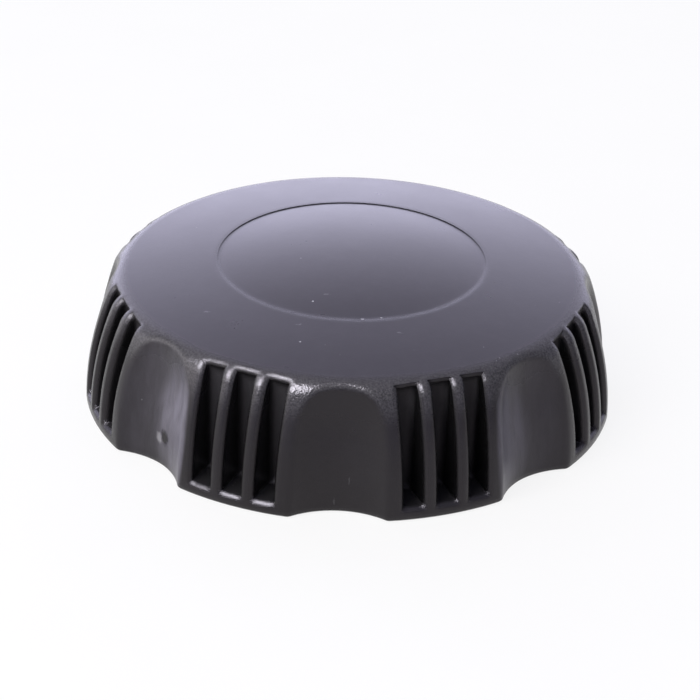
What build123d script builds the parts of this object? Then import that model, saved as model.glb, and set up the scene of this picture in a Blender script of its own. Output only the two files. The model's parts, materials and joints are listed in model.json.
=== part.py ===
from build123d import *
from build123d import SkipClean
import math
import os

# Screw-on fuel filler cap for a wide tank neck, in millimetres.
# +Z is up along the cap's axis, z = 0 is the plane of its bottom rim, -Y is the front.
# A lobed grip cover turns on a screwed closure through a ratchet, so the closure
# can't be overtightened. A vent valve in the closure's middle opens both ways.

# ---------------------------------------------------------------- driving dimensions

# closure, which screws on the tank's neck
neck_bore_radius = 41.0       # wall of the threaded bore, at the thread's root
closure_wall = 2.6
thread_length = 11.7
thread_lead_in = 0.8          # chamfer at the mouth of the bore
gasket_undercut = 0.6         # the gasket snaps behind this step in the bore
gasket_width = 6.9
gasket_thickness = 2.0
gasket_keeper_wall = 1.8      # ring that backs the gasket from inside
slip_washer_thickness = 0.5
closure_disc_thickness = 2.5
closure_edge_chamfer = 0.6
closure_rib_count = 8
closure_rib_thickness = 1.6
closure_rib_height = 1.2

# clearances
turning_gap = 0.4             # radial, between the closure and the cover that turns on it
axial_gap = 0.3               # axial, between pieces that turn past each other
seat_gap = 0.05               # between a valve seal and its seat
fit_gap = 0.1                 # between pieces that are assembled and stay put
slide_gap = 0.06              # radial, a stem in its guide
mesh_gap = 0.3                # pawl to ratchet tooth
keeper_gap = 0.6              # radial, the stem's keeper in the valve cap's dome

# snap ring that keeps the closure in the cover
ring_lift = 1.2
ring_thickness = 1.2
ring_overlap = 1.0            # how far it reaches under the closure's skirt
ring_groove_depth = 1.2
ring_split_deg = 9.0

# grip cover
cover_wall = 2.5
pocket_depth = 8.5            # at the foot of a lobe
side_arc_radius = 62.0        # barrel curve of the lobes, upright at the rim
crown_radius = 278.0          # shallow dome over the whole top
crown_gap = 0.5               # between the valve cap and the dome's underside
shoulder_radius = 5.0
inner_corner_bevel = 2.0
disc_radius = 27.6            # plain round middle of the top
disc_step = 0.18              # its edge lies this far below the dome around it
disc_rise = 2.35
rim_bevel = 0.4
lobe_count = 8
scallop_depth = 3.9           # at the rim
scallop_radius = 16.0
scallop_sweep_radius = 90.0   # the scallop leans inward on this curve
scallop_lean_height = 18.0    # up to this height, then it turns upright again
scallop_return_radius = 37.0
scallop_edge_round = 1.6
pockets_per_lobe = 3
pocket_width_share = 0.0745    # of the rim's radius
pocket_pitch_share = 0.1227
pocket_floor = 2.6
pocket_roof = 2.5
pocket_roof_slope_deg = 39.7
pocket_corner_round = 1.2
pocket_lip_bevel = 0.6
coring_width = 2.1            # recess in the rim behind each scallop
coring_height = 12.0
coring_span_deg = 16.0
thrust_rib_wall = 1.4         # ring under the dome that bears on the ratchet wall

# ratchet
tooth_count = 24
tooth_depth = 1.6
ratchet_inset = 5.2           # from the closure's side to the outside of the ratchet wall
ratchet_wall = 2.4
ratchet_height = 4.6
pawl_count = 4
pawl_arm_thickness = 2.0
pawl_arm_span_deg = 48.0
pawl_tip_span_deg = 9.0
pawl_ring_width = 7.0
pawl_ring_thickness = 3.2
pawl_ring_gap = 1.6           # between the valve cap and the ring around it
dog_width = 5.0
dog_depth = 2.6
dog_shoulder = 1.2

# vent valve
housing_bore_radius = 12.8
housing_wall = 2.0
housing_flange_width = 3.2
housing_flange_thickness = 2.2
seat_floor_thickness = 1.5
o_ring_section = 1.2
seat_hole_radius = 7.5
seat_bead_inset = 1.1         # from the hole's edge to the bead
seat_bead_width = 1.0
seat_bead_height = 0.5
seal_thickness = 1.0
seal_overlap = 1.0            # the seal's reach past the bead
spigot_gap = 0.8              # between the plate's spigot and the seat hole
plate_thickness = 1.5
plate_rim_gap = 1.2           # gas passes round the plate's rim here
plate_guide_count = 4
plate_guide_width = 2.0
plate_guide_gap = 0.2
pressure_travel = 1.5
pressure_wire = 0.8
pressure_spring_length = 3.25
pressure_spring_radius = 9.0
pressure_spring_turns = 1.75
vacuum_travel = 1.0
vacuum_stem_radius = 1.1
vacuum_head_radius = 5.5
vacuum_head_thickness = 1.3
vacuum_seal_thickness = 0.7
vacuum_wire = 0.35
vacuum_spring_length = 2.25
vacuum_spring_turns = 2.5
vacuum_port_count = 6
vacuum_port_radius = 0.6
keeper_thickness = 0.6
keeper_radius = 3.0
stem_point = 0.2              # stem above its keeper
coil_runs_per_turn = 16       # straight runs that stand for a turn of wire
wire_sides = 8
valve_cap_thickness = 1.4
valve_dome_wall = 0.8
lift_gap = 0.2                # left over the stem when the plate is fully up
snap_wall = 1.4               # short rings that snap into the housing's bore
snap_height = 1.2
window_count = 6
window_width = 6.0
baffle_thickness = 1.4
baffle_rim_height = 0.9
baffle_rim_width = 2.4
baffle_gap = 0.9              # under the vacuum valve when it is open
baffle_slot_count = 6
baffle_slot_width = 2.0
baffle_slot_inner = 4.5
baffle_slot_outer = 10.5

# ---------------------------------------------------------------- derived sizes

closure_radius = neck_bore_radius + closure_wall
cover_bore_radius = closure_radius + turning_gap
pocket_back = cover_bore_radius + cover_wall
rim_radius = pocket_back + pocket_depth
pocket_width = rim_radius * pocket_width_share
pocket_pitch = rim_radius * pocket_pitch_share

# heights, from the rim upward
ring_top = ring_lift + ring_thickness
skirt_bottom = ring_top + axial_gap
gasket_bottom = skirt_bottom + thread_length
gasket_top = gasket_bottom + gasket_thickness
disc_underside = gasket_top + slip_washer_thickness
disc_top = disc_underside + closure_disc_thickness
ratchet_top = disc_top + ratchet_height
pawl_bottom = disc_top + axial_gap
pawl_top = pawl_bottom + pawl_ring_thickness

baffle_top = disc_underside - baffle_rim_height
vacuum_head_bottom = baffle_top + baffle_gap + vacuum_travel
vacuum_seal_bottom = vacuum_head_bottom + vacuum_head_thickness
vacuum_seal_top = vacuum_seal_bottom + vacuum_seal_thickness
spigot_bottom = vacuum_seal_top + seat_gap
seat_bead_top = spigot_bottom - seat_gap
seat_floor_top = seat_bead_top - seat_bead_height
plate_bottom = spigot_bottom + seal_thickness
plate_top = plate_bottom + plate_thickness
cap_bottom = plate_top + pressure_spring_length
cap_top = cap_bottom + valve_cap_thickness
keeper_bottom = plate_top + vacuum_spring_length
stem_top = keeper_bottom + keeper_thickness + stem_point
cap_dome_inside = stem_top + pressure_travel + lift_gap
cap_dome_top = cap_dome_inside + valve_dome_wall
flange_top = disc_top + housing_flange_thickness

crown_height = cap_dome_top + crown_gap + cover_wall
crown_centre = crown_height - crown_radius
disc_edge_height = crown_centre + math.sqrt(crown_radius**2 - disc_radius**2) - disc_step
disc_height = disc_edge_height + disc_rise
disc_dome_radius = (disc_radius**2 + disc_rise**2) / (2 * disc_rise)

# radii
gasket_groove_radius = neck_bore_radius + gasket_undercut
gasket_radius = gasket_groove_radius - 2 * fit_gap
gasket_inner_radius = gasket_radius - gasket_width
ratchet_radius = closure_radius - ratchet_inset
tooth_root_radius = ratchet_radius - ratchet_wall
tooth_tip_radius = tooth_root_radius - tooth_depth
housing_radius = housing_bore_radius + housing_wall
housing_hole_radius = housing_radius + fit_gap
flange_radius = housing_radius + housing_flange_width
baffle_radius = housing_hole_radius + baffle_rim_width
snap_outer = housing_bore_radius - fit_gap
snap_inner = snap_outer - snap_wall
pawl_ring_inner = flange_radius + pawl_ring_gap
pawl_ring_outer = pawl_ring_inner + pawl_ring_width
dog_radius = (pawl_ring_inner + pawl_ring_outer) / 2
seat_bead_radius = seat_hole_radius + seat_bead_inset + seat_bead_width / 2
seal_radius = seat_bead_radius + seat_bead_width / 2 + seal_overlap
spigot_radius = seat_hole_radius - spigot_gap
plate_radius = housing_bore_radius - plate_rim_gap
vacuum_port_circle = (vacuum_stem_radius + vacuum_head_radius) / 2
vacuum_spring_radius = vacuum_stem_radius + slide_gap + fit_gap + vacuum_wire
dome_bore_radius = keeper_radius + keeper_gap
o_ring_radius = housing_radius + housing_flange_width / 2

lobe_angle = 360 / lobe_count
over = 1.0                    # how far a cutting shape runs past the face it cuts
touch = 0.001                 # two heights or radii closer than this are the same


# ---------------------------------------------------------------- helpers

def polar(radius, degrees):
    """Point at an angle about the axis."""
    return (radius * math.cos(math.radians(degrees)), radius * math.sin(math.radians(degrees)))


def span(inner, outer, bottom, top):
    """Rectangle in the half section, between two radii and two heights."""
    centre = Pos((inner + outer) / 2, (bottom + top) / 2)
    return centre * Rectangle(outer - inner, top - bottom)


def turned(section):
    """Solid of revolution about the axis from a half section drawn as (radius, height)."""
    return revolve(Plane.XZ * section, Axis.Z)


def turned_outline(points):
    """The same, from the corners of the half section."""
    return turned(make_face(Polyline(*points, close=True)))


def ring(inner, outer, bottom, top):
    """Plain ring between two radii and two heights."""
    return turned(span(inner, outer, bottom, top))


def around(count, shape, start=0.0):
    """Copies of a shape, evenly spaced about the axis."""
    step = 360 / count
    return [Rot(0, 0, start + i * step) * shape for i in range(count)]


def wedge(degrees):
    """Plan of a wedge from the axis along +X, wider than the cap, to cut with."""
    reach = 2 * rim_radius
    points = [(0, 0), polar(reach, -degrees / 2), polar(reach, degrees / 2)]
    return make_face(Polyline(*points, close=True))


def upright(sketch, bottom, top):
    """Prism from a plan drawn about the axis."""
    return extrude(Pos(0, 0, bottom) * sketch, top - bottom)


def coil(radius, wire, turns, bottom, top):
    """Open coil spring that fills the height between two faces, its wire in short straight runs."""
    rise = top - bottom - wire
    runs = round(turns * coil_runs_per_turn)
    points = []
    for i in range(runs + 1):
        x, y = polar(radius, 360 * turns * i / runs)
        points.append((x, y, bottom + wire / 2 + rise * i / runs))
    path = Polyline(*points)
    section = Plane(origin=path @ 0, x_dir=(1, 0, 0), z_dir=path % 0)
    section *= RegularPolygon(wire / 2, wire_sides, rotation=180 / wire_sides)
    return sweep(section, path=path, transition=Transition.RIGHT)


def save(node, shape):
    """Write one sub-part."""
    shape.label = node
    export_step(shape, "parts/" + node + ".step")


# ---------------------------------------------------------------- grip cover

def crown(radius, height_centre):
    """Filled circle of a shallow dome, in the half section."""
    return Pos(0, height_centre) * Circle(radius)


def cover_section():
    """Outer half section: barrel side, rounded shoulder, dome and its flush middle disc."""
    side = Pos(rim_radius - side_arc_radius, 0) * Circle(side_arc_radius)
    blank = side & crown(crown_radius, crown_centre) & span(0, rim_radius, 0, crown_height)
    shoulder = blank.vertices().sort_by(Axis.X)[-2:].sort_by(Axis.Y)[-1]
    blank = fillet(shoulder, shoulder_radius)
    sunk = disc_edge_height - over
    dome = crown(disc_dome_radius, disc_height - disc_dome_radius)
    dome &= span(0, disc_radius, sunk - over, disc_height)
    return blank - span(0, disc_radius, sunk, disc_height) + dome


def scallop():
    """Cutter for one finger scallop at +X: a tube that leans inward, then turns upright."""
    lean = math.asin(scallop_lean_height / scallop_sweep_radius)
    tube_centre = rim_radius - scallop_depth + scallop_radius
    inner_pivot = tube_centre - scallop_sweep_radius
    outer_reach = scallop_sweep_radius + scallop_return_radius
    outer_pivot = inner_pivot + outer_reach * math.cos(lean)
    upright_from = outer_reach * math.sin(lean)
    inner_hinge = Axis((inner_pivot, 0, 0), (0, -1, 0))
    outer_hinge = Axis((outer_pivot, 0, upright_from), (0, 1, 0))

    tube = Pos(tube_centre, 0, 0) * Circle(scallop_radius)
    lean = math.degrees(lean)
    drop = math.degrees(math.asin(scallop_radius / scallop_sweep_radius))
    leaning = revolve(tube.rotate(inner_hinge, -drop), inner_hinge, lean + drop)
    returning = revolve(tube.rotate(inner_hinge, lean), outer_hinge, lean)
    top = Pos(outer_pivot - scallop_return_radius, 0) * Circle(scallop_radius)
    return leaning + returning + upright(top, upright_from, crown_height + over)


def pocket():
    """Cutter for one blind slot at +X, with a rounded back and a roof that follows the shoulder."""
    outside = rim_radius + over
    corner = dome_height(pocket_back) - pocket_roof
    rise = (outside - pocket_back) * math.tan(math.radians(pocket_roof_slope_deg))
    side = Polyline(
        (pocket_back, pocket_floor),
        (outside, pocket_floor),
        (outside, corner + rise),
        (pocket_back, corner),
        close=True,
    )
    block = extrude(Plane.XZ * make_face(side), pocket_width / 2, both=True)
    back_edges = block.edges().filter_by_position(Axis.X, pocket_back - touch, pocket_back + touch)
    return fillet(back_edges, pocket_corner_round)


def dome_height(radius):
    """Height of the outside of the dome at a radius."""
    return crown_centre + math.sqrt(crown_radius**2 - radius**2)


def roof_height(radius):
    """Height of the underside of the dome at a radius."""
    return crown_centre + math.sqrt((crown_radius - cover_wall)**2 - radius**2)


def cover_cavity():
    """Space inside the cover, under its dome."""
    edge = cover_bore_radius - inner_corner_bevel
    roof = [(r, roof_height(r)) for r in (0, edge / 3, edge * 2 / 3, edge)]
    corner = (cover_bore_radius, roof_height(cover_bore_radius) - inner_corner_bevel)
    section = make_face(Polyline((0, -over), *roof, corner, (cover_bore_radius, -over), close=True))
    groove = span(0, cover_bore_radius + ring_groove_depth, ring_lift, ring_top + fit_gap)
    return turned(section + groove)


def drive_dog():
    """Lug under the dome at +X that turns the pawl ring, with a shoulder that holds it down."""
    root = dome_height(dog_radius) - cover_wall / 2
    tongue_bottom = pawl_bottom + axial_gap
    tongue = Box(dog_depth, dog_width, root - tongue_bottom)
    tongue = Pos(dog_radius, 0, (root + tongue_bottom) / 2) * tongue
    neck_bottom = pawl_top + fit_gap
    neck = Box(dog_depth + 2 * dog_shoulder, dog_width + 2 * dog_shoulder, root - neck_bottom)
    neck = Pos(dog_radius, 0, (root + neck_bottom) / 2) * neck
    return tongue + neck


def coring():
    """Cutter for the recess in the rim at +X, behind a scallop."""
    arc = Circle(pocket_back + coring_width) - Circle(pocket_back)
    return upright(arc & wedge(coring_span_deg), -over, coring_height)


def cover_sector(section):
    """One lobe at +X with its pockets cut, and half a scallop on each side of it."""
    blank = revolve(Plane.XZ * section, Axis.Z, lobe_angle)
    blank = (Rot(0, 0, -lobe_angle / 2) * blank).solids()[0]
    lobe = blank
    for i in range(pockets_per_lobe):
        offset = (i - (pockets_per_lobe - 1) / 2) * pocket_pitch
        lobe -= Pos(0, offset, 0) * pocket()
    lobe = lobe.solids()[0]
    lips = (lobe.edges() - blank.edges()).filter_by(GeomType.BSPLINE)
    lobe = lobe.chamfer(pocket_lip_bevel, None, lips)

    scalloped = lobe - Rot(0, 0, lobe_angle / 2) * scallop() - Rot(0, 0, -lobe_angle / 2) * scallop()
    scalloped = scalloped.solids()[0]
    arches = (scalloped.edges() - lobe.edges()).filter_by(GeomType.BSPLINE)
    lobe = scalloped.fillet(scallop_edge_round, arches)
    return lobe.chamfer(rim_bevel, None, lobe.edges().filter_by(is_foot_edge))


def is_foot_edge(edge):
    """Whether an edge is part of the outline in the plane of the rim."""
    flat = edge.bounding_box().size.Z < touch and (edge @ 0.5).Z < touch
    return flat and edge.geom_type != GeomType.LINE


def grip_cover():
    """Lobed cover, hollow underneath, with the dogs that turn the pawl ring."""
    section = cover_section()
    with SkipClean():
        lobes = around(lobe_count, cover_sector(section), lobe_angle / 2)
        cover = lobes[0].fuse(*lobes[1:])
        cover -= cover_cavity()
        cover += around(pawl_count, drive_dog())
        thrust_inner = ratchet_radius - thrust_rib_wall
        thrust_root = dome_height(ratchet_radius) - cover_wall / 2
        cover += ring(thrust_inner, ratchet_radius, ratchet_top + axial_gap, thrust_root)
        cover -= around(lobe_count, coring())
    return cover


def snap_ring():
    """Split ring in the cover's groove, which keeps the closure from dropping out."""
    inner = closure_radius - ring_overlap
    outer = cover_bore_radius + ring_groove_depth - fit_gap
    return upright(Circle(outer) - Circle(inner) - wedge(ring_split_deg), ring_lift, ring_top)


# ---------------------------------------------------------------- ratchet

def ratchet_outline():
    """Saw-tooth hole of the ratchet wall: each tooth rises inward clockwise, then drops."""
    pitch = 360 / tooth_count
    points = []
    for i in range(tooth_count):
        points.append(polar(tooth_tip_radius, i * pitch))
        points.append(polar(tooth_root_radius, (i + 1) * pitch))
    return make_face(Polyline(*points, close=True))


def pawl_arm():
    """Plan of one springy arm: an arc that leaves the hub and ends in a tooth."""
    half = pawl_arm_thickness / 2
    start_radius = pawl_ring_outer - half
    end_radius = tooth_tip_radius - mesh_gap - half
    pitch = 360 / tooth_count
    steep = pitch * round(pawl_arm_span_deg / pitch)
    steep -= math.degrees(mesh_gap / tooth_root_radius)
    angles = [steep - pawl_arm_span_deg, steep - pawl_arm_span_deg / 2, steep]
    middle_radius = (start_radius + end_radius) / 2
    radii = [start_radius, middle_radius, end_radius]
    outer = [polar(r + half, a) for r, a in zip(radii, angles)]
    inner = [polar(r - half, a) for r, a in zip(radii, angles)]
    arm = [
        ThreePointArc(*outer),
        Line(outer[2], inner[2]),
        ThreePointArc(*inner),
        Line(inner[0], outer[0]),
    ]
    tip = [
        polar(end_radius, steep),
        polar(tooth_root_radius - mesh_gap, steep),
        polar(end_radius + half / 2, steep - pawl_tip_span_deg),
        polar(end_radius, steep - pawl_tip_span_deg),
    ]
    return make_face(Wire(arm)) + make_face(Polyline(*tip, close=True))


def pawl_ring():
    """Ring that the cover turns, with arms whose tips rest in the closure's teeth."""
    hub = Circle(pawl_ring_outer) - Circle(pawl_ring_inner)
    slot = Rectangle(dog_depth + 2 * fit_gap, dog_width + 2 * fit_gap)
    plan = hub - around(pawl_count, Pos(dog_radius, 0) * slot)
    for arm in around(pawl_count, pawl_arm(), 180 / pawl_count):
        plan += arm
    return upright(plan, pawl_bottom, pawl_top)


# ---------------------------------------------------------------- closure

def closure_body():
    """Screwed closure: threaded skirt, disc, ratchet wall and the ring behind the gasket."""
    keeper_outer = gasket_inner_radius - fit_gap
    keeper_inner = keeper_outer - gasket_keeper_wall
    skirt = turned_outline([
        (closure_radius, skirt_bottom),
        (closure_radius, disc_top - closure_edge_chamfer),
        (closure_radius - closure_edge_chamfer, disc_top),
        (housing_hole_radius, disc_top),
        (housing_hole_radius, disc_underside),
        (keeper_inner, disc_underside),
        (keeper_inner, gasket_bottom + fit_gap),
        (keeper_outer, gasket_bottom + fit_gap),
        (keeper_outer, disc_underside),
        (gasket_groove_radius, disc_underside),
        (gasket_groove_radius, gasket_bottom),
        (neck_bore_radius, gasket_bottom),
        (neck_bore_radius, skirt_bottom + thread_lead_in),
        (neck_bore_radius + thread_lead_in, skirt_bottom),
    ])
    wall = upright(Circle(ratchet_radius) - ratchet_outline(), disc_top, ratchet_top)
    rib_inner = baffle_radius + fit_gap
    rib_length = keeper_inner - rib_inner + gasket_keeper_wall / 2
    rib = Box(rib_length, closure_rib_thickness, closure_rib_height)
    rib_place = Pos(rib_inner + rib_length / 2, 0, disc_underside - closure_rib_height / 2)
    return skirt + wall + around(closure_rib_count, rib_place * rib)


def neck_gasket():
    return ring(gasket_inner_radius, gasket_radius, gasket_bottom, gasket_top)


def slip_washer():
    """Thin ring above the gasket, so that turning the cap doesn't drag the rubber."""
    return ring(gasket_inner_radius, gasket_radius, gasket_top, disc_underside)


# ---------------------------------------------------------------- vent valve

def valve_housing():
    """Cup on the closure's disc whose floor is the pressure valve's seat."""
    tube = ring(housing_bore_radius, housing_radius, baffle_top + fit_gap, cap_bottom)
    flange = ring(housing_bore_radius, flange_radius, disc_top, flange_top)
    floor = ring(seat_hole_radius, housing_radius, seat_floor_top - seat_floor_thickness, seat_floor_top)
    half_bead = seat_bead_width / 2
    bead = ring(seat_bead_radius - half_bead, seat_bead_radius + half_bead, seat_floor_top, seat_bead_top)
    room = o_ring_section / 2 + fit_gap
    groove = ring(o_ring_radius - room, o_ring_radius + room, disc_top, disc_top + 2 * room)
    window_height = cap_bottom - snap_height - plate_top - 2 * fit_gap
    window = Box(2 * (housing_wall + over), window_width, window_height)
    window = Pos(housing_radius, 0, plate_top + fit_gap + window_height / 2) * window
    return tube + flange + floor + bead - groove - around(window_count, window)


def housing_o_ring():
    height = disc_top + o_ring_section / 2 + fit_gap
    return turned(Pos(o_ring_radius, height) * RegularPolygon(o_ring_section / 2, wire_sides))


def splash_baffle():
    """Slotted cap under the housing that clips it to the disc and keeps fuel off the valve."""
    plate = ring(0, baffle_radius, baffle_top - baffle_thickness, baffle_top)
    rim = ring(housing_hole_radius, baffle_radius, baffle_top, disc_underside)
    snap = ring(snap_inner, snap_outer, baffle_top, baffle_top + snap_height)
    slot_length = baffle_slot_outer - baffle_slot_inner
    slot = SlotOverall(slot_length, baffle_slot_width)
    slot = Pos((baffle_slot_inner + baffle_slot_outer) / 2, 0) * slot
    slot = upright(slot, baffle_top - baffle_thickness - over, baffle_top + over)
    return plate + rim + snap - around(baffle_slot_count, slot)


def pressure_plate():
    """Plate that lifts off the seat under tank pressure, ported for the vacuum valve."""
    disc = ring(0, plate_radius, plate_bottom, plate_top)
    spigot = ring(0, spigot_radius, spigot_bottom, plate_bottom)
    guide_length = plate_rim_gap - plate_guide_gap + over
    guide = Box(guide_length, plate_guide_width, plate_thickness)
    guide = Pos(plate_radius - over + guide_length / 2, 0, (plate_bottom + plate_top) / 2) * guide
    stem_hole = ring(0, vacuum_stem_radius + slide_gap, spigot_bottom - over, plate_top + over)
    port = upright(Circle(vacuum_port_radius), spigot_bottom - over, plate_top + over)
    ports = around(vacuum_port_count, Pos(vacuum_port_circle, 0, 0) * port)
    plate = disc + spigot + around(plate_guide_count, guide, 180 / plate_guide_count)
    return plate - stem_hole - ports


def pressure_seal():
    return ring(spigot_radius + seat_gap, seal_radius, spigot_bottom, plate_bottom)


def pressure_spring():
    return coil(
        pressure_spring_radius, pressure_wire, pressure_spring_turns,
        plate_top + seat_gap, cap_bottom - seat_gap,
    )


def vacuum_valve():
    """Mushroom under the plate that tank vacuum pulls down."""
    stem = ring(0, vacuum_stem_radius, vacuum_seal_bottom, stem_top)
    head = ring(0, vacuum_head_radius, vacuum_head_bottom, vacuum_seal_bottom)
    return stem + head


def vacuum_seal():
    return ring(vacuum_stem_radius + seat_gap, vacuum_head_radius, vacuum_seal_bottom, vacuum_seal_top)


def vacuum_spring():
    return coil(
        vacuum_spring_radius, vacuum_wire, vacuum_spring_turns,
        plate_top + seat_gap, keeper_bottom - seat_gap,
    )


def stem_keeper():
    """Push-on washer that holds the vacuum spring on its stem."""
    return ring(vacuum_stem_radius + seat_gap, keeper_radius, keeper_bottom, keeper_bottom + keeper_thickness)


def valve_cap():
    """Lid of the housing and top seat of the pressure spring, domed over the stem."""
    plate = ring(dome_bore_radius, flange_radius, cap_bottom, cap_top)
    dome = ring(0, dome_bore_radius + valve_dome_wall, cap_bottom, cap_dome_top)
    hollow = ring(0, dome_bore_radius, cap_bottom - over, cap_dome_inside)
    snap = ring(snap_inner, snap_outer, cap_bottom - snap_height, cap_bottom)
    return plate + dome + snap - hollow


def vent_filter():
    """Foam ring round the housing's windows that keeps dust out of the valve."""
    return ring(housing_radius + fit_gap, flange_radius - fit_gap, flange_top, cap_bottom)


# ---------------------------------------------------------------- build

os.makedirs("parts", exist_ok=True)

pieces = {
    "grip_cover": grip_cover,
    "snap_ring": snap_ring,
    "pawl_ring": pawl_ring,
    "closure_body": closure_body,
    "neck_gasket": neck_gasket,
    "slip_washer": slip_washer,
    "valve_housing": valve_housing,
    "housing_o_ring": housing_o_ring,
    "splash_baffle": splash_baffle,
    "pressure_plate": pressure_plate,
    "pressure_seal": pressure_seal,
    "pressure_spring": pressure_spring,
    "vacuum_valve": vacuum_valve,
    "vacuum_seal": vacuum_seal,
    "vacuum_spring": vacuum_spring,
    "stem_keeper": stem_keeper,
    "valve_cap": valve_cap,
    "vent_filter": vent_filter,
}

for node, make in pieces.items():
    save(node, make())
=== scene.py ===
"""Looks of the fuel filler cap: materials, thread ridge, spring coils, floor, light and camera.

Lengths are in metres, apart from those that say millimetres, which are multiplied by MM.
"""

import json
import math

import bmesh
import bpy
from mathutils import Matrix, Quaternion, Vector


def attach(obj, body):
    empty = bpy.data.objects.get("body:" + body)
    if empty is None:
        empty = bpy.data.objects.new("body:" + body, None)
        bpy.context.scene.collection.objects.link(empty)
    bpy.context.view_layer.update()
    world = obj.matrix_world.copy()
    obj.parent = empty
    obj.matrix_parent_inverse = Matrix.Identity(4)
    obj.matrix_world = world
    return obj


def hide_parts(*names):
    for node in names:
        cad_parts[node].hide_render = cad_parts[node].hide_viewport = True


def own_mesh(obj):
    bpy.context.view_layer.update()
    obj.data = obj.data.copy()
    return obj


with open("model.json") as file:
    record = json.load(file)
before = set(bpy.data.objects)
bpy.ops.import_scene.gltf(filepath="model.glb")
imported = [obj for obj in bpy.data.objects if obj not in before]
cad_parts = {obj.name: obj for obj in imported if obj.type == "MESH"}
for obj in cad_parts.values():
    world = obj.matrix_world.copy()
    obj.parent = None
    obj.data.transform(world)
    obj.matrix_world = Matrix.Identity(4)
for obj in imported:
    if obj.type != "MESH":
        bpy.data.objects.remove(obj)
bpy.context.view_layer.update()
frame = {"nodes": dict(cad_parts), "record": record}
MM = 0.001


# ---------------------------------------------------------------- shader helpers

def shader(name):
    """A new material, its node tree, its Principled shader and the object's own coordinates."""
    material = bpy.data.materials.new(name)
    material.use_nodes = True
    tree = material.node_tree
    principled = tree.nodes["Principled BSDF"]
    place = tree.nodes.new("ShaderNodeTexCoord").outputs["Object"]
    return material, tree, principled, place


def node(tree, kind, *inputs, **props):
    """Adds a node: props are its settings, inputs go to its sockets in order, None skips one."""
    made = tree.nodes.new("ShaderNode" + kind)
    for key, value in props.items():
        setattr(made, key, value)
    for socket, value in zip(made.inputs, inputs):
        if value is None:
            continue
        if isinstance(value, bpy.types.NodeSocket):
            tree.links.new(value, socket)
        else:
            socket.default_value = value
    return made


def maths(tree, operation, a, b=None, clamp=False):
    return node(tree, "Math", a, b, operation=operation, use_clamp=clamp).outputs[0]


def product(tree, first, *others):
    for other in others:
        first = maths(tree, "MULTIPLY", first, other)
    return first


def vector_maths(tree, operation, a, b):
    return node(tree, "VectorMath", a, b, operation=operation).outputs[0]


def length_of(tree, vector):
    return node(tree, "VectorMath", vector, operation="LENGTH").outputs["Value"]


def ellipsoid_distance(tree, place, centre, half):
    """Distance from a centre as a share of the half sizes, both in mm: 1 on the ellipsoid."""
    away = vector_maths(tree, "SUBTRACT", place, [value * MM for value in centre])
    away = vector_maths(tree, "DIVIDE", away, [value * MM for value in half])
    return length_of(tree, away)


def noise(tree, place, scale, detail=3.0, roughness=0.5):
    """Value of a noise texture, scale in features per metre."""
    made = node(tree, "TexNoise", place)
    made.inputs["Scale"].default_value = scale
    made.inputs["Detail"].default_value = detail
    made.inputs["Roughness"].default_value = roughness
    return made.outputs[0]


def spread(tree, value, low, high, to_low=0.0, to_high=1.0, smooth=True):
    """Maps low..high of a value to to_low..to_high."""
    kind = "SMOOTHSTEP" if smooth else "LINEAR"
    made = node(tree, "MapRange", value, low, high, to_low, to_high, interpolation_type=kind)
    return made.outputs[0]


def blend_colour(tree, factor, first, second):
    """Mix of two colours; in RGBA mode the node's sockets for them are the seventh and eighth."""
    made = node(tree, "Mix", data_type="RGBA")
    for index, value in ((0, factor), (6, first), (7, second)):
        if isinstance(value, bpy.types.NodeSocket):
            tree.links.new(value, made.inputs[index])
        else:
            made.inputs[index].default_value = value
    return made.outputs[2]


def grey(level, tint=(1.0, 1.0, 1.0)):
    return (level * tint[0], level * tint[1], level * tint[2], 1.0)


def bump(tree, height, depth, normal=None):
    """Bump of a real depth in metres."""
    made = node(tree, "Bump", 1.0, depth)
    tree.links.new(height, made.inputs["Height"])
    if normal is not None:
        tree.links.new(normal, made.inputs["Normal"])
    return made.outputs[0]


def upward(tree):
    """How far a surface faces up, from 0 to 1."""
    normal = node(tree, "NewGeometry").outputs["Normal"]
    return node(tree, "SeparateXYZ", normal).outputs[2]


LOOSE_DUST = grey(0.32, (1.0, 0.97, 0.92))
LOOSE_DUST_SCALE = 420.0


def finish_of(name, first, second, mottle, rough, grain, metallic=0.0, dust=0.0):
    """A material with mottled colour, uneven roughness, a grain in bump and dust on what faces up.

    mottle is a scale, rough is (low, high, scale) and grain is (scale, depth).
    """
    material, tree, principled, place = shader(name)
    patch = spread(tree, noise(tree, place, mottle, detail=5.0, roughness=0.6), 0.35, 0.65)
    colour = blend_colour(tree, patch, first, second)
    if dust:
        settled = spread(tree, noise(tree, place, LOOSE_DUST_SCALE, detail=8.0, roughness=0.7), 0.5, 0.75)
        settled = product(tree, settled, spread(tree, upward(tree), 0.2, 0.9, 0.0, dust))
        colour = blend_colour(tree, settled, colour, LOOSE_DUST)
    tree.links.new(colour, principled.inputs["Base Color"])
    low, high, scale = rough
    uneven = spread(tree, noise(tree, place, scale, detail=4.0), 0.3, 0.7, low, high)
    tree.links.new(uneven, principled.inputs["Roughness"])
    scale, depth = grain
    texture = noise(tree, place, scale, detail=4.0, roughness=0.6)
    tree.links.new(bump(tree, texture, depth), principled.inputs["Normal"])
    principled.inputs["Metallic"].default_value = metallic
    return material
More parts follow.
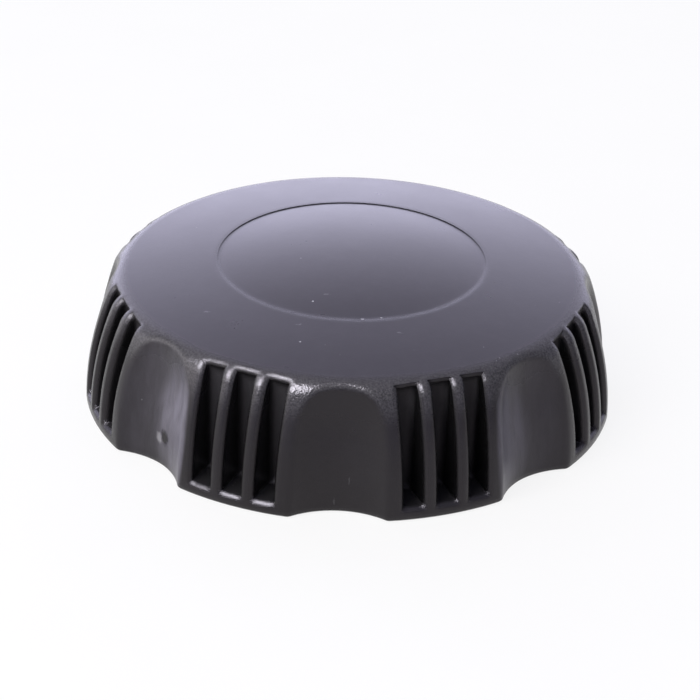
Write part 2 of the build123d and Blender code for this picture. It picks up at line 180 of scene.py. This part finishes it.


# ---------------------------------------------------------------- the cover's marks and painted sheen

# each group: half sizes in mm, strength, and centres in mm
MARK_GROUPS = (
    # specks
    ((0.28, 0.28, 0.28), 0.9, (
        (-6.9, -21.5, 30.1),
        (-8.7, -35.6, 28.4),
        (-40.0, -32.5, 12.4),
        (0.1, -50.0, 15.1),
        (3.1, -26.9, 29.5),
        (6.8, -26.2, 29.5),
    )),
    # scuffs
    ((0.9, 0.35, 0.35), 0.12, (
        (-4.3, -19.0, 30.5),
        (-9.4, -29.8, 29.1),
        (10.5, -31.1, 28.9),
        (-27.7, -24.6, 28.5),
    )),
    # scratches
    ((0.25, 0.6, 1.1), 0.05, (
        (-0.9, -51.1, 2.2),
        (1.9, -51.0, 6.9),
    )),
    # raised edge of the ding, also painted pale as a highlight
    ((1.4, 1.4, 1.5), 0.3, (
        (-36.0, -36.0, 6.1),
    )),
)
# the ding itself, in the scallop at the front left, also painted dark as shade
DENT_GROUPS = (
    ((1.6, 1.6, 2.0), 1.0, (
        (-34.9, -36.9, 6.6),
    )),
)
WOBBLE_SCALE = 1500.0           # of the noise that makes the marks' outlines ragged
WOBBLE = 0.9 * MM               # how far it shifts them

# painted sheen: a lighter lilac patch that stands in for reflection in the scallops, which are rougher
# there too, in mm; x counts the same to the left and to the right
PAINTED_SHEEN_CENTRE = (32.0, -40.5, 11.0)
PAINTED_SHEEN_HALF = (9.5, 9.5, 17.0)
PAINTED_SHEEN_HALO = 0.2                 # strength of its faint outer part
PAINTED_SHEEN_AT_RIGHT = 0.55            # share of the left one's strength
# the scallop's tube in mm: its middle is at x = reach and y = -reach, and leans inward with height
TUBE_HEIGHT = 20.0
TUBE_REACH_LOW = 48.4
TUBE_REACH_HIGH = 46.4
TUBE_RADIUS = (17.6, 16.9)      # outside the haze and fully in it
STREAK_SCALE = 300.0
STREAK_STRETCH = (1.0, 1.0, 0.2)


def marks_on_cover(tree, place, groups):
    """Mask of the small ragged marks of some groups."""
    wobble = node(tree, "TexNoise", place)
    wobble.inputs["Scale"].default_value = WOBBLE_SCALE
    shift = vector_maths(tree, "SUBTRACT", wobble.outputs["Color"], (0.5, 0.5, 0.5))
    shift = node(tree, "VectorMath", shift, operation="SCALE")
    shift.inputs["Scale"].default_value = WOBBLE
    wobbled = vector_maths(tree, "ADD", place, shift.outputs[0])
    total = None
    for half, strength, centres in groups:
        for centre in centres:
            away = ellipsoid_distance(tree, wobbled, centre, half)
            mask = spread(tree, away, 1.0, 0.35, 0.0, strength)
            total = mask if total is None else maths(tree, "MAXIMUM", total, mask)
    return total


def painted_sheen_patch(tree, place, parts):
    """Mask of the painted sheen, a lighter patch that stands in for reflection, in the scallops at the
    front left and, less, at the front right.
    """
    x, y, z = parts.outputs[0], parts.outputs[1], parts.outputs[2]
    mirrored = maths(tree, "ABSOLUTE", x)
    folded = node(tree, "CombineXYZ", mirrored, y, z).outputs[0]
    away = ellipsoid_distance(tree, folded, PAINTED_SHEEN_CENTRE, PAINTED_SHEEN_HALF)
    core = spread(tree, away, 1.15, 0.25)
    halo = spread(tree, away, 2.0, 1.0, 0.0, PAINTED_SHEEN_HALO)
    painted_sheen_mask = maths(tree, "MAXIMUM", core, halo)
    # only inside the scallop
    reach = spread(tree, z, 0.0, TUBE_HEIGHT * MM, TUBE_REACH_LOW * MM, TUBE_REACH_HIGH * MM, smooth=False)
    from_middle_x = maths(tree, "SUBTRACT", mirrored, reach)
    from_middle_y = maths(tree, "ADD", y, reach)
    from_middle = length_of(tree, node(tree, "CombineXYZ", from_middle_x, from_middle_y, 0.0).outputs[0])
    outside, within = TUBE_RADIUS
    inside = spread(tree, from_middle, outside * MM, within * MM)
    side = spread(tree, x, -0.01, 0.01, 1.0, PAINTED_SHEEN_AT_RIGHT)
    painted_sheen_mask = product(tree, inside, side, painted_sheen_mask)
    # the painted sheen is broken into streaks that run up and down
    drawn_out = node(tree, "Mapping", place, None, None, STREAK_STRETCH).outputs[0]
    streaks = noise(tree, drawn_out, STREAK_SCALE, detail=5.0, roughness=0.65)
    return product(tree, painted_sheen_mask, spread(tree, streaks, 0.3, 0.65, 0.5, 1.0))


# ---------------------------------------------------------------- materials

COVER_BLACK = grey(0.004)
COVER_MOTTLE = grey(0.007, (1.0, 0.98, 1.06))
COVER_PAINTED_TOP_LIGHT = grey(0.020, (1.0, 0.98, 1.08))
COVER_PAINTED_SHEEN = grey(0.16, (0.98, 0.94, 1.12))
COVER_PAINTED_GLINT = grey(0.085, (1.0, 0.99, 1.02))
COVER_DUST = grey(0.24, (1.0, 0.99, 1.02))
COVER_MARK = grey(0.55)

# zones of the cover, from outside the zone to fully in it: distance from the axis, and height
SHOULDER_RADIUS = (0.0455, 0.048)
SHOULDER_HEIGHT = (0.018, 0.024)
SLOT_RADIUS = (0.0482, 0.0472)
SLOT_HEIGHT = (0.0255, 0.0245)

# scales of its noises, in features per metre
MOTTLE_SCALE = 45.0
SATIN_SCALE = 85.0
SPECK_PATCH_SCALE = 170.0       # where specks lie thicker
DUST_SCALE = 300.0
SPECK_SCALE = 520.0
COARSE_SCALE = 900.0            # waviness under the grain
GLINT_SCALE = 2300.0
GRAIN_SCALE = 3000.0            # spark-eroded grain

DUST_SHARE = (0.01, 0.035)      # on what faces sideways, and on what faces up
SPECK_SHARE = 0.3
GRAIN_DEPTH = 0.04 * MM
COARSE_SHARE = 0.5              # of the grain's depth
GLINT_SHARE = 1.7
MARK_DEPTH = 0.08 * MM
DENT_SHARE = 4.0                # of a mark's depth, downward
EDGE_ROUND = 1.7 * MM           # radius to which the moulded edges are shaded
SATIN = (0.27, 0.31)            # roughness, lowest and highest
POLISHED_BY = 0.06              # what polish takes off the roughness
PAINTED_SHEEN_ROUGHER = 0.18             # what the painted sheen's patch, slots and marks add to it
SLOT_ROUGHER = 0.35
MARK_ROUGHER = 0.3
COVER_IOR = 1.42
COVER_GLOSS_TINT = (0.99, 0.90, 0.97, 1.0)


def cover_plastic():
    """Black moulded plastic with a spark-eroded grain, polished and dusted as in use, with painted light:
    glints round the shoulder, a sheen in the front scallops, a lighter top and a shaded ding.
    """
    material, tree, principled, place = shader("cover_moulded_black")
    parts = node(tree, "SeparateXYZ", place)
    across = node(tree, "CombineXYZ", parts.outputs[0], parts.outputs[1], 0.0).outputs[0]
    radius = length_of(tree, across)
    height = parts.outputs[2]
    up = upward(tree)

    patch = spread(tree, noise(tree, place, MOTTLE_SCALE, detail=6.0, roughness=0.6), 0.35, 0.7)
    colour = blend_colour(tree, patch, COVER_BLACK, COVER_MOTTLE)
    # painted light: what faces up is painted a little lighter and lilac
    colour = blend_colour(tree, spread(tree, up, 0.3, 0.9), colour, COVER_PAINTED_TOP_LIGHT)
    # painted sheen: a lighter lilac patch in the front scallops stands in for a reflection
    painted_sheen_mask = painted_sheen_patch(tree, place, parts)
    colour = blend_colour(tree, painted_sheen_mask, colour, COVER_PAINTED_SHEEN)
    # painted glints: the grain's peaks round the shoulder are painted lighter, standing in for highlights
    shoulder_band = product(tree, spread(tree, radius, *SHOULDER_RADIUS), spread(tree, height, *SHOULDER_HEIGHT))
    peaks = spread(tree, noise(tree, place, GRAIN_SCALE, detail=2.0), 0.3, 0.7, 0.35, 1.0)
    painted_glints = product(tree, shoulder_band, peaks, spread(tree, up, 0.1, 0.5))
    colour = blend_colour(tree, painted_glints, colour, COVER_PAINTED_GLINT)
    # fine dust that has settled on what faces up
    settled = spread(tree, noise(tree, place, DUST_SCALE, detail=9.0, roughness=0.75), 0.35, 0.9)
    settled = product(tree, settled, spread(tree, up, 0.1, 0.9, *DUST_SHARE))
    colour = blend_colour(tree, settled, colour, COVER_DUST)
    # loose specks, and the marks that the photo shows
    cells = node(tree, "TexVoronoi", place)
    cells.inputs["Scale"].default_value = SPECK_SCALE
    speck = spread(tree, cells.outputs["Distance"], 0.10, 0.04)
    sparse = spread(tree, noise(tree, place, SPECK_PATCH_SCALE, detail=2.0), 0.62, 0.68)
    speck = product(tree, sparse, spread(tree, up, 0.3, 0.9), speck)
    marks = marks_on_cover(tree, place, MARK_GROUPS)
    pale = maths(tree, "MAXIMUM", product(tree, speck, SPECK_SHARE), marks)
    colour = blend_colour(tree, pale, colour, COVER_MARK)
    dent_and_painted_shade = marks_on_cover(tree, place, DENT_GROUPS)
    # painted shade: the dent is painted plain black, darker than the surface round it
    colour = blend_colour(tree, dent_and_painted_shade, colour, COVER_BLACK)
    tree.links.new(colour, principled.inputs["Base Color"])

    # moulded edges aren't sharp: their rounds go on past the bevels of the mesh, and wear smooth
    rounded = node(tree, "Bevel", EDGE_ROUND, samples=8).outputs[0]
    straight = node(tree, "NewGeometry").outputs["Normal"]
    facing = node(tree, "VectorMath", rounded, straight, operation="DOT_PRODUCT").outputs["Value"]
    edge = spread(tree, facing, 0.995, 0.93)
    # satin, polished by fingers round the shoulder and on edges
    uneven = spread(tree, noise(tree, place, SATIN_SCALE, detail=5.0, roughness=0.6), 0.2, 0.8, *SATIN)
    polished = maths(tree, "MAXIMUM", shoulder_band, edge)
    uneven = maths(tree, "SUBTRACT", uneven, product(tree, polished, POLISHED_BY))
    # rougher under the painted sheen, down in the slots, and where marked
    uneven = maths(tree, "ADD", uneven, product(tree, painted_sheen_mask, PAINTED_SHEEN_ROUGHER))
    in_slot = product(tree, spread(tree, radius, *SLOT_RADIUS), spread(tree, height, *SLOT_HEIGHT))
    uneven = maths(tree, "ADD", uneven, product(tree, in_slot, SLOT_ROUGHER))
    uneven = maths(tree, "ADD", uneven, product(tree, pale, MARK_ROUGHER), clamp=True)
    tree.links.new(uneven, principled.inputs["Roughness"])

    # the grain is strongest on the sides, and its polished peaks glint
    grain = noise(tree, place, GRAIN_SCALE, detail=2.0, roughness=0.6)
    coarse = noise(tree, place, COARSE_SCALE, detail=2.0)
    side_on = spread(tree, up, 0.97, 0.6, 0.25, 1.0)
    glints = noise(tree, place, GLINT_SCALE, detail=1.0)
    glints = product(tree, glints, product(tree, polished, GLINT_SHARE))
    relief = maths(tree, "ADD", grain, product(tree, coarse, COARSE_SHARE))
    relief = maths(tree, "ADD", product(tree, relief, side_on), glints)
    grained = bump(tree, relief, GRAIN_DEPTH, rounded)
    marked = maths(tree, "SUBTRACT", pale, product(tree, dent_and_painted_shade, DENT_SHARE))
    tree.links.new(bump(tree, marked, MARK_DEPTH, grained), principled.inputs["Normal"])
    principled.inputs["IOR"].default_value = COVER_IOR
    principled.inputs["Specular Tint"].default_value = COVER_GLOSS_TINT
    return material


MATERIALS = {
    "cover": cover_plastic(),
    "closure": finish_of(
        "closure_moulded_black", grey(0.014), grey(0.022),
        mottle=60.0, rough=(0.38, 0.5, 90.0), grain=(2200.0, 0.04 * MM), dust=0.12,
    ),
    "pawls": finish_of(
        "natural_acetal", (0.72, 0.70, 0.63, 1), (0.66, 0.62, 0.52, 1),
        mottle=70.0, rough=(0.3, 0.42, 120.0), grain=(900.0, 0.02 * MM),
    ),
    "valve_plastic": finish_of(
        "valve_moulded_black", grey(0.02), grey(0.03),
        mottle=80.0, rough=(0.32, 0.45, 110.0), grain=(1800.0, 0.03 * MM), dust=0.08,
    ),
    "rubber": finish_of(
        "nitrile_rubber", grey(0.016), grey(0.034, (1.0, 0.98, 0.95)),
        mottle=130.0, rough=(0.6, 0.8, 160.0), grain=(3000.0, 0.05 * MM),
    ),
    "washer": finish_of(
        "slip_washer_polymer", (0.80, 0.79, 0.74, 1), (0.70, 0.68, 0.60, 1),
        mottle=55.0, rough=(0.25, 0.38, 90.0), grain=(1200.0, 0.015 * MM),
    ),
    "spring_steel": finish_of(
        "spring_wire", (0.58, 0.57, 0.55, 1), (0.46, 0.45, 0.43, 1),
        mottle=260.0, rough=(0.22, 0.38, 400.0), grain=(4000.0, 0.01 * MM), metallic=1.0,
    ),
    "filter_foam": finish_of(
        "filter_foam", grey(0.05), grey(0.13),
        mottle=700.0, rough=(0.85, 0.98, 300.0), grain=(1100.0, 0.6 * MM),
    ),
}

for row in frame["record"]["subparts"]:
    for material_slot in frame["nodes"][row["node"]].material_slots:
        material_slot.material = MATERIALS[row["material_slot"]]


# ---------------------------------------------------------------- mesh helper

def object_from(mesh, name):
    """Turns a finished bmesh into a named object of the scene."""
    data = bpy.data.meshes.new(name)
    mesh.to_mesh(data)
    mesh.free()
    made = bpy.data.objects.new(name, data)
    bpy.context.scene.collection.objects.link(made)
    return made


# ---------------------------------------------------------------- thread of the closure's bore, in mm

THREAD_ROOT = 41.1      # buried a little in the wall of the bore
THREAD_CREST = 39.5
THREAD_PITCH = 6.0
THREAD_LOW = 5.4        # middle of the ridge at its start and end
THREAD_HIGH = 12.6
ROOT_HALF = 1.5
CREST_HALF = 0.55
STEPS_A_TURN = 120
RUN_OUT = 0.06          # of a turn, over which the ridge rises from the wall
LEAST_RISE = 0.04       # so that its ends keep a face
RIDGE_ROUND = 0.25


def thread_ridge():
    """Right-hand coarse thread: one trapezoid ridge that winds up the bore and fades at its ends."""
    turns = (THREAD_HIGH - THREAD_LOW) / THREAD_PITCH
    steps = round(turns * STEPS_A_TURN)
    mesh = bmesh.new()
    rows = []
    for i in range(steps + 1):
        turn = turns * i / steps
        fade = min(1.0, turn / RUN_OUT, (turns - turn) / RUN_OUT)
        fade = max(fade, LEAST_RISE)
        fade = fade * fade * (3 - 2 * fade)
        crest = THREAD_ROOT + (THREAD_CREST - THREAD_ROOT) * fade
        middle = THREAD_LOW + THREAD_PITCH * turn
        corners = (
            (THREAD_ROOT, -ROOT_HALF),
            (crest, -CREST_HALF),
            (crest, CREST_HALF),
            (THREAD_ROOT, ROOT_HALF),
        )
        angle = math.tau * turn
        rows.append([
            mesh.verts.new((r * MM * math.cos(angle), r * MM * math.sin(angle), (middle + z) * MM))
            for r, z in corners
        ])
    for first, second in zip(rows, rows[1:]):
        for a, b in ((0, 1), (1, 2), (2, 3), (3, 0)):
            mesh.faces.new((first[a], first[b], second[b], second[a]))
    mesh.faces.new(rows[0][::-1])
    mesh.faces.new(rows[-1])
    bmesh.ops.recalc_face_normals(mesh, faces=mesh.faces)
    ridge = object_from(mesh, "neck_thread_ridge")
    rounding = ridge.modifiers.new("rounding", "BEVEL")
    rounding.width = RIDGE_ROUND * MM
    rounding.segments = 3
    ridge.data.materials.append(MATERIALS["closure"])
    return ridge


thread = thread_ridge()
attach(thread, "closure")


# ---------------------------------------------------------------- springs, in mm

PLATE_TOP = 22.45       # of the pressure plate, on which both springs stand
PRESSURE_LENGTH = 3.25  # of the pressure spring, at rest and with its valve lifted
VACUUM_LENGTH = 2.25    # of the vacuum spring, at rest and with its valve dropped
WIRE_SLACK = 0.01       # taken off the wire's radius, so that it only just clears its seats
WIRE_SIDES = 12
STEPS_A_COIL = 48


def coil_spring(name, radius, wire, turns, length):
    """Open coil of round wire on the pressure plate."""
    thick = wire / 2 - WIRE_SLACK
    rise = length - wire
    steps = round(turns * STEPS_A_COIL)
    mesh = bmesh.new()
    rings = []
    for i in range(steps + 1):
        angle = math.tau * turns * i / steps
        outward = Vector((math.cos(angle), math.sin(angle), 0))
        slope = rise / (math.tau * turns * radius)
        along = Vector((-math.sin(angle), math.cos(angle), slope)).normalized()
        across = along.cross(outward)
        middle = outward * radius + Vector((0, 0, PLATE_TOP + wire / 2 + rise * i / steps))
        ring = []
        for k in range(WIRE_SIDES):
            turn = math.tau * k / WIRE_SIDES
            point = middle + (outward * math.cos(turn) + across * math.sin(turn)) * thick
            ring.append(mesh.verts.new(point * MM))
        rings.append(ring)
    for first, second in zip(rings, rings[1:]):
        for k in range(WIRE_SIDES):
            following = (k + 1) % WIRE_SIDES
            side = mesh.faces.new((first[k], first[following], second[following], second[k]))
            side.smooth = True
    mesh.faces.new(rings[0][::-1])
    mesh.faces.new(rings[-1])
    bmesh.ops.recalc_face_normals(mesh, faces=mesh.faces)
    spring = object_from(mesh, name)
    spring.data.materials.append(MATERIALS["spring_steel"])
    return spring


big_spring = coil_spring("pressure_spring_coil", radius=9.0, wire=0.8, turns=1.75, length=PRESSURE_LENGTH)
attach(big_spring, "closure")
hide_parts("pressure_spring")
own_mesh(big_spring)

small_spring = coil_spring("vacuum_spring_coil", radius=1.61, wire=0.35, turns=2.5, length=VACUUM_LENGTH)
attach(small_spring, "pressure_valve")
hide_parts("vacuum_spring")
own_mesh(small_spring)


# ---------------------------------------------------------------- floor

FLOOR_HALF = 4.0
FLOOR_GAP = 0.05 * MM           # below the rim, so that the two don't share a plane
FLOOR_ROUGHNESS = (0.75, 0.85)
FLOOR_WHITE_SHARE = 0.85        # of what the camera and mirrors see; the rest takes the shadow


def pale_floor():
    """Wide pale floor; it is near white to the eye and keeps the object's shadow."""
    mesh = bmesh.new()
    bmesh.ops.create_grid(mesh, x_segments=8, y_segments=8, size=FLOOR_HALF)
    floor = object_from(mesh, "floor")
    floor.location.z = -FLOOR_GAP
    material, tree, principled, place = shader("floor_paper")
    fibres = spread(tree, noise(tree, place, 40.0, detail=4.0), 0.3, 0.7)
    colour = blend_colour(tree, fibres, grey(0.90), grey(0.93))
    tree.links.new(colour, principled.inputs["Base Color"])
    rough = spread(tree, noise(tree, place, 9.0), 0.3, 0.7, *FLOOR_ROUGHNESS)
    tree.links.new(rough, principled.inputs["Roughness"])
    principled.inputs["Specular IOR Level"].default_value = 0.1
    path = node(tree, "LightPath")
    seen = maths(tree, "MAXIMUM", path.outputs["Is Camera Ray"], path.outputs["Is Glossy Ray"])
    seen = maths(tree, "MAXIMUM", seen, path.outputs["Is Transmission Ray"])
    white = node(tree, "Emission", grey(1.0), 1.0).outputs[0]
    share = product(tree, seen, FLOOR_WHITE_SHARE)
    mixed = node(tree, "MixShader", share, principled.outputs[0], white)
    # the sheet has one side, so the object can be seen from below
    below = node(tree, "NewGeometry").outputs["Backfacing"]
    clear = node(tree, "BsdfTransparent").outputs[0]
    mixed = node(tree, "MixShader", below, mixed.outputs[0], clear)
    tree.links.new(mixed.outputs[0], tree.nodes["Material Output"].inputs["Surface"])
    floor.data.materials.append(material)


# ---------------------------------------------------------------- light

WORLD_TINT = (0.875, 0.865, 1.11, 1.0)
BEHIND_STRENGTH = 3.7
FRONT_STRENGTH = 0.7
WALL_STRENGTH = 0.10
CEILING_STRENGTH = 0.62

# colours of the lamps that aren't plain white
WARM = (1.05, 1.0, 0.94)
COOL = (0.94, 1.0, 1.06)


def studio_world():
    """Soft room: brightest low down behind the object, dimmer overhead and in front, dim elsewhere."""
    world = bpy.data.worlds.new("studio")
    bpy.context.scene.world = world
    world.use_nodes = True
    tree = world.node_tree
    direction = node(tree, "TexCoord").outputs["Generated"]
    parts = node(tree, "SeparateXYZ", direction)
    x, y, z = parts.outputs[0], parts.outputs[1], parts.outputs[2]
    low = spread(tree, z, 1.05, 0.10, 0.0, 1.0, smooth=False)
    behind = spread(tree, y, 0.25, 0.8)
    leftward = spread(tree, x, 0.6, -0.3, 0.6, 1.0)
    glow = product(tree, product(tree, behind, low), product(tree, leftward, BEHIND_STRENGTH))
    front = product(tree, spread(tree, y, -0.2, -0.7), spread(tree, z, 0.6, 0.1), FRONT_STRENGTH)
    ceiling = spread(tree, z, 0.55, 0.92, WALL_STRENGTH, CEILING_STRENGTH)
    strength = maths(tree, "ADD", maths(tree, "ADD", glow, front), ceiling)
    background = tree.nodes["Background"]
    background.inputs["Color"].default_value = WORLD_TINT
    tree.links.new(strength, background.inputs["Strength"])


def softbox(name, place, aim_height, size, watts, colour=(1.0, 1.0, 1.0)):
    """Rectangular lamp that is aimed at a height on the object's axis."""
    data = bpy.data.lights.new(name, "AREA")
    data.shape = "RECTANGLE"
    data.size, data.size_y = size
    data.energy = watts
    data.color = colour
    lamp = bpy.data.objects.new(name, data)
    lamp.location = place
    lamp.rotation_mode = "QUATERNION"
    aim = Vector((0, 0, aim_height))
    lamp.rotation_quaternion = (aim - Vector(place)).to_track_quat("-Z", "Y")
    bpy.context.scene.collection.objects.link(lamp)
    return lamp


def lamps():
    """Softboxes at the left and the front left; the gleam shows only in reflections."""
    softbox(
        "left_softbox", (-0.75, -0.14, 0.20),
        aim_height=0.012, size=(0.8, 0.42), watts=2.0,
    )
    softbox(
        "front_left_softbox", (-0.40, -0.42, 0.62),
        aim_height=0.02, size=(0.50, 0.42), watts=3.7, colour=WARM,
    )
    gleam = softbox(
        "front_left_gleam", (-0.42, -0.44, 0.60),
        aim_height=0.02, size=(0.44, 0.40), watts=20.0, colour=COOL,
    )
    gleam.visible_diffuse = False


# ---------------------------------------------------------------- camera

CAMERA_ELEVATION = 27.56        # degrees above the rim's plane
CAMERA_AZIMUTH = 1.24           # degrees to the right of the front
CAMERA_ROLL = 1.75
CAMERA_DISTANCE = 0.50617
CAMERA_AIM = (0, 0, 0.012)
SENSOR_WIDTH = 36.0             # mm, as the lens
LENS = 124.58
SHIFT_X = 0.0007                # share of the picture's width
SHIFT_Y = -0.0227
CLIP_START = 0.01


def photo_camera():
    """Camera at the photograph's angle and distance."""
    elevation = math.radians(CAMERA_ELEVATION)
    azimuth = math.radians(CAMERA_AZIMUTH)
    back = Vector((
        math.sin(azimuth) * math.cos(elevation),
        -math.cos(azimuth) * math.cos(elevation),
        math.sin(elevation),
    ))
    data = bpy.data.cameras.new("camera")
    camera = bpy.data.objects.new("camera", data)
    bpy.context.scene.collection.objects.link(camera)
    camera.location = Vector(CAMERA_AIM) + back * CAMERA_DISTANCE
    camera.rotation_mode = "QUATERNION"
    roll = Quaternion((0, 0, 1), math.radians(CAMERA_ROLL))
    camera.rotation_quaternion = (-back).to_track_quat("-Z", "Y") @ roll
    data.sensor_width = SENSOR_WIDTH
    data.lens = LENS
    data.shift_x = SHIFT_X
    data.shift_y = SHIFT_Y
    data.clip_start = CLIP_START
    bpy.context.scene.camera = camera


pale_floor()
studio_world()
lamps()
photo_camera()
bpy.context.scene.view_settings.view_transform = "Standard"
